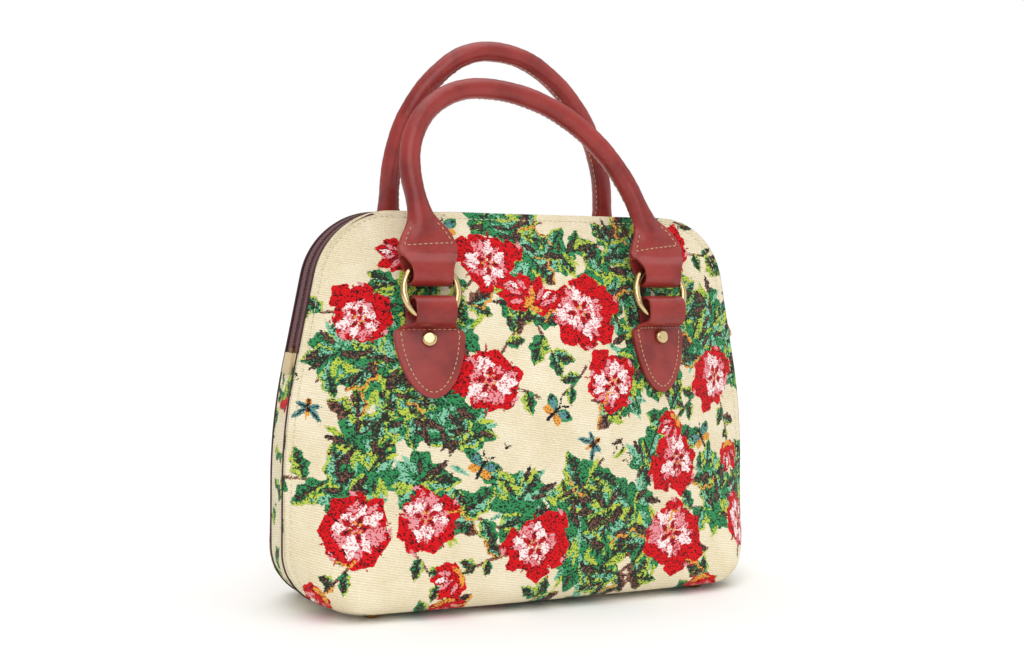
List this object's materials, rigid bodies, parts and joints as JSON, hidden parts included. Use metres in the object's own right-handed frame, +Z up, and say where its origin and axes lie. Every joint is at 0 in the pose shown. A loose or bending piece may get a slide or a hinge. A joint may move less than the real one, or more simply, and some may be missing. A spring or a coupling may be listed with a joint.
{
  "type": "tapestry handbag",
  "caption": "Structured handbag of ribbed floral tapestry with a zip over its top, studs under its base and two rolled leather handles hung on brass rings.",
  "frame": {"origin": "on the surface the bag stands on, under the middle of the bag", "axes": "+Z up, -Y towards the front, +X to the right seen from the front"},
  "size_m": [0.3218, 0.1236, 0.3509],
  "materials": {
    "tapestry": "ribbed tapestry cloth, cream ground with a woven floral in red, pink and green",
    "lining_cloth": "plain brown lining cloth",
    "board": "stiff fibre board",
    "piping": "thin dark burgundy piping",
    "zip_tape": "ribbed burgundy zip tape",
    "zip_coil": "burgundy nylon coil",
    "end_cloth": "folded cream cloth",
    "leather": "smooth brick-red leather, softly glossy, cream stitching",
    "brass": "polished pale brass",
    "dark_brass": "dull dark brass"
  },
  "bodies": {
    "bag": {"tapestry_body": "tapestry", "side_strip_right": "tapestry", "side_strip_left": "tapestry", "lining": "lining_cloth", "base_board": "board", "piping_front": "piping", "piping_back": "piping", "zip_tape_front": "zip_tape", "zip_tape_back": "zip_tape", "zip_coil": "zip_coil", "zip_stop_right": "brass", "zip_stop_left": "brass", "zip_end_tab_right": "end_cloth", "zip_end_tab_left": "end_cloth", "tab_front_right": "leather", "rivet_front_right": "brass", "foot_front_right": "dark_brass", "tab_front_left": "leather", "rivet_front_left": "brass", "foot_front_left": "dark_brass", "tab_back_right": "leather", "rivet_back_right": "brass", "foot_back_right": "dark_brass", "tab_back_left": "leather", "rivet_back_left": "brass", "foot_back_left": "dark_brass"},
    "front_rings": {"ring_front_right": "brass", "ring_front_left": "brass"},
    "front_handle": {"handle_front": "leather"},
    "back_rings": {"ring_back_right": "brass", "ring_back_left": "brass"},
    "back_handle": {"handle_back": "leather"},
    "slider": {"zip_slider": "brass"},
    "pull": {"zip_pull": "brass"}
  },
  "joints": [
    {"name": "front_ring_swing", "type": "hinge", "parent": "bag", "child": "front_rings", "pos_m": [0, -0.04563, 0.18], "axis": [1, 0, 0], "range_deg": [0, 130]},
    {"name": "front_handle_swing", "type": "hinge", "parent": "front_rings", "child": "front_handle", "pos_m": [0, -0.03885, 0.20622], "axis": [1, 0, 0], "range_deg": [0, 20]},
    {"name": "back_ring_swing", "type": "hinge", "parent": "bag", "child": "back_rings", "pos_m": [0, 0.04563, 0.18], "axis": [-1, 0, 0], "range_deg": [0, 130]},
    {"name": "back_handle_swing", "type": "hinge", "parent": "back_rings", "child": "back_handle", "pos_m": [0, 0.04, 0.20649], "axis": [-1, 0, 0], "range_deg": [0, 20]},
    {"name": "slider_slide", "type": "slide", "parent": "bag", "child": "slider", "axis": [-0.1942, 0, 0.981], "range_m": [-0.016, 0.013]},
    {"name": "pull_swing", "type": "hinge", "parent": "slider", "child": "pull", "pos_m": [0.14916, 0, 0.18072], "axis": [0, -1, 0], "range_deg": [0, 140]}
  ]
}
